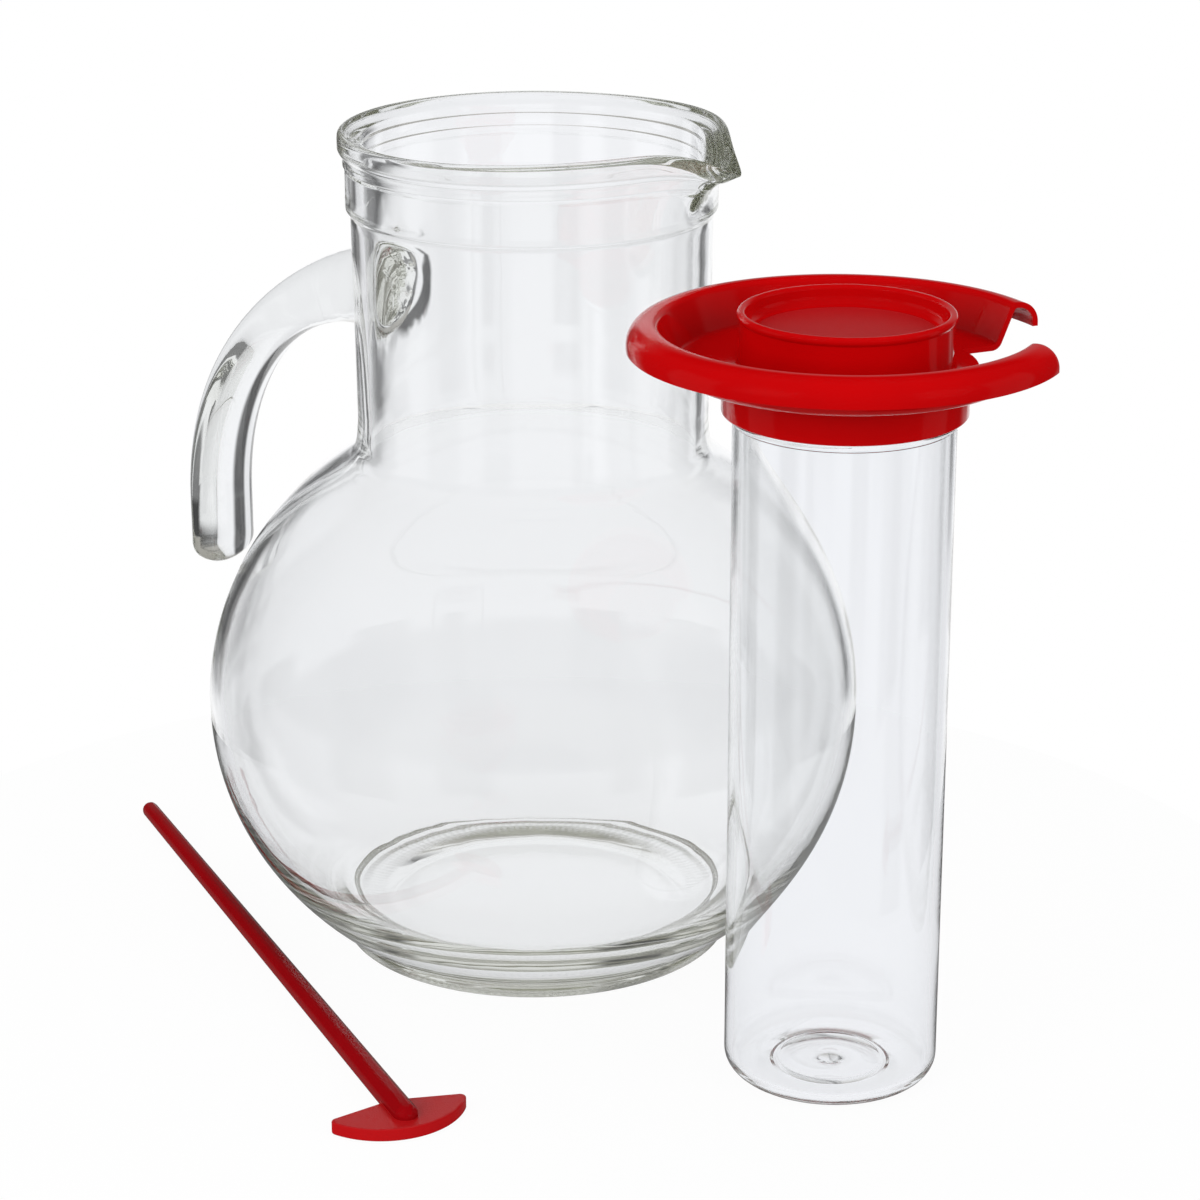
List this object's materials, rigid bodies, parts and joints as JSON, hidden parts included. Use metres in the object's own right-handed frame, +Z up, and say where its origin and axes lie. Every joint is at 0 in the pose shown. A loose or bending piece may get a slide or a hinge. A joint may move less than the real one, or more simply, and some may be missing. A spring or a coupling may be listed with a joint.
{
  "type": "juice carafe",
  "caption": "Round-bellied clear glass juice jug with hook handle and spout, its red lid on a clear ice tube standing beside it, and a red stirrer lying in front.",
  "frame": {"origin": "on the table, in the middle of the rectangle that the three standing and lying pieces cover", "axes": "+X to the right of the front view, +Y away from the viewer, +Z up"},
  "size_m": [0.2422, 0.2304, 0.2226],
  "materials": {
    "clear_glass": "polished, clear",
    "clear_plastic": "clear, glossy",
    "red_gloss_plastic": "glossy",
    "red_satin_plastic": "satin"
  },
  "bodies": {
    "jug": {"glass_jug": "clear_glass"},
    "insert": {"ice_tube": "clear_plastic"},
    "screw_lid": {"lid": "red_gloss_plastic"},
    "stir_rod": {"stirrer": "red_satin_plastic"}
  },
  "joints": [
    {"name": "insert_lift", "type": "slide", "parent": "jug", "child": "insert", "axis": [0, 0, 1], "range_m": [0, 0.25]},
    {"name": "lid_turn", "type": "hinge", "parent": "insert", "child": "screw_lid", "pos_m": [0.07337, -0.06275, 0.183], "axis": [0, 0, 1], "range_deg": [0, 270]},
    {"name": "stirrer_lift", "type": "slide", "parent": "jug", "child": "stir_rod", "axis": [-0.6475, -0.2842, 0.7071], "range_m": [0, 0.25]}
  ]
}
